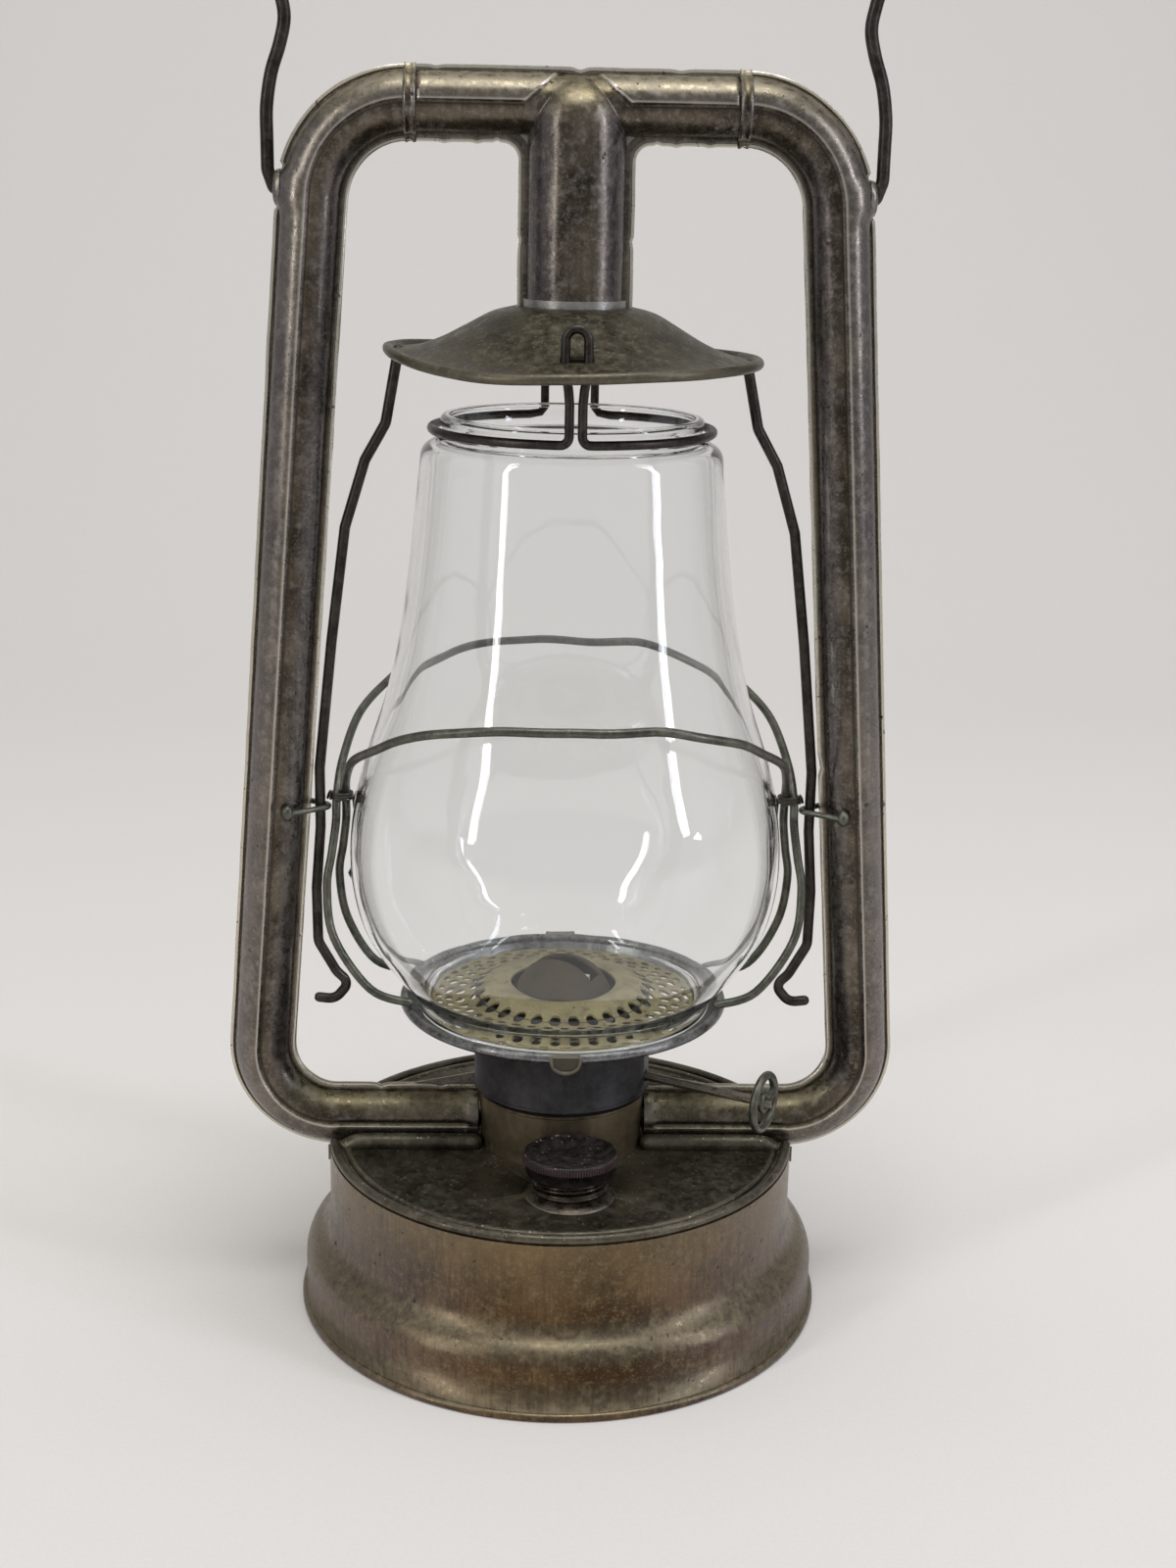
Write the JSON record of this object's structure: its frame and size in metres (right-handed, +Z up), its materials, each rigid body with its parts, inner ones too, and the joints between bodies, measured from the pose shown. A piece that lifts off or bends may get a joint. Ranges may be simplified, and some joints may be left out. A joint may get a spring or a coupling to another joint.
{
  "type": "lantern",
  "caption": "Tubular hot-blast barn lantern with clear globe, crossed wire guard, screw-capped fount, wick adjuster and wire bail",
  "frame": {"origin": "centre of the fount's foot, on the surface that it stands on", "axes": "+Z up along the lantern's axis, -Y towards the front where the filler cap is, +X towards the side of the wick adjuster's thumb ring"},
  "size_m": [0.1902, 0.1508, 0.4344],
  "materials": {
    "tinplate": "aged tinplate, dull grey-brown with rust specks and dust",
    "dark_tinplate": "darkened tinplate with dust and rust",
    "solder": "bright tinned metal, dulled",
    "collar_metal": "dark blue-grey lacquered tinplate, worn",
    "cap_metal": "black-brown oxidised steel, dusty top",
    "draft_plate": "pale yellow-brown dusty sheet",
    "dome_metal": "heat-browned brass",
    "burner_brass": "dull aged brass",
    "black_wire": "blackened steel wire",
    "grey_wire": "greenish-grey galvanised wire",
    "globe_glass": "clear glass with a slight green cast",
    "cork": "compressed fibre disc",
    "cotton": "flat woven cotton, trimmed"
  },
  "bodies": {
    "frame": {"fount_body": "tinplate", "fount_top": "dark_tinplate", "fount_bottom": "tinplate", "filler_neck": "cap_metal", "lower_collar": "collar_metal", "air_chamber": "collar_metal", "left_tube_front": "tinplate", "left_tube_back": "tinplate", "right_tube_front": "tinplate", "right_tube_back": "tinplate", "crown_front": "tinplate", "crown_back": "tinplate", "left_band": "tinplate", "right_band": "tinplate", "chimney_band": "solder", "canopy": "dark_tinplate", "left_rail": "black_wire", "right_rail": "black_wire", "left_guide_loop": "grey_wire", "right_guide_loop": "grey_wire", "left_bail_ear": "tinplate", "right_bail_ear": "tinplate", "burner_body": "burner_brass", "wick_tube": "burner_brass", "burner_dome": "dome_metal"},
    "bail": {"bail": "black_wire"},
    "cradle": {"globe_plate": "solder", "perforated_plate": "draft_plate", "plate_clips": "solder", "front_hoop": "grey_wire", "rear_hoop": "grey_wire", "left_tie": "black_wire", "right_tie": "black_wire", "globe": "globe_glass"},
    "globe_ring": {"globe_ring": "black_wire"},
    "wick_adjuster": {"wick_shaft": "grey_wire", "spur_wheels": "burner_brass", "thumb_ring": "grey_wire"},
    "wick": {"wick": "cotton"},
    "cap_gasket": {"cap_gasket": "cork"},
    "filler_cap": {"filler_cap": "cap_metal"}
  },
  "joints": [
    {"name": "bail_swing", "type": "hinge", "parent": "frame", "child": "bail", "pos_m": [0, 0, 0.312], "axis": [1, 0, 0], "range_deg": [-120, 120]},
    {"name": "cradle_lift", "type": "slide", "parent": "frame", "child": "cradle", "axis": [0, 0, 1], "range_m": [0, 0.006]},
    {"name": "ring_lift", "type": "slide", "parent": "cradle", "child": "globe_ring", "axis": [0, 0, 1], "range_m": [0, 0.008]},
    {"name": "adjuster_turn", "type": "hinge", "parent": "frame", "child": "wick_adjuster", "pos_m": [0.0024, 0.00439, 0.0695], "axis": [0.8771, -0.4802, 0], "range_deg": [-90, 90]},
    {"name": "wick_slide", "type": "slide", "parent": "frame", "child": "wick", "axis": [0, 0, 1], "range_m": [-0.0061, 0.0061]},
    {"name": "cap_lift", "type": "slide", "parent": "frame", "child": "cap_gasket", "axis": [0, 0.0698, 0.9976], "range_m": [0, 0.0049]},
    {"name": "cap_turn", "type": "hinge", "parent": "cap_gasket", "child": "filler_cap", "pos_m": [0.002, -0.0384, 0.048], "axis": [0, 0.0698, 0.9976], "range_deg": [0, 720]}
  ],
  "couplings": [
    {"joint": "wick_slide", "follows": "adjuster_turn", "m_per_rad": -0.0038},
    {"joint": "cap_lift", "follows": "cap_turn", "m_per_rad": 0.00038197}
  ]
}
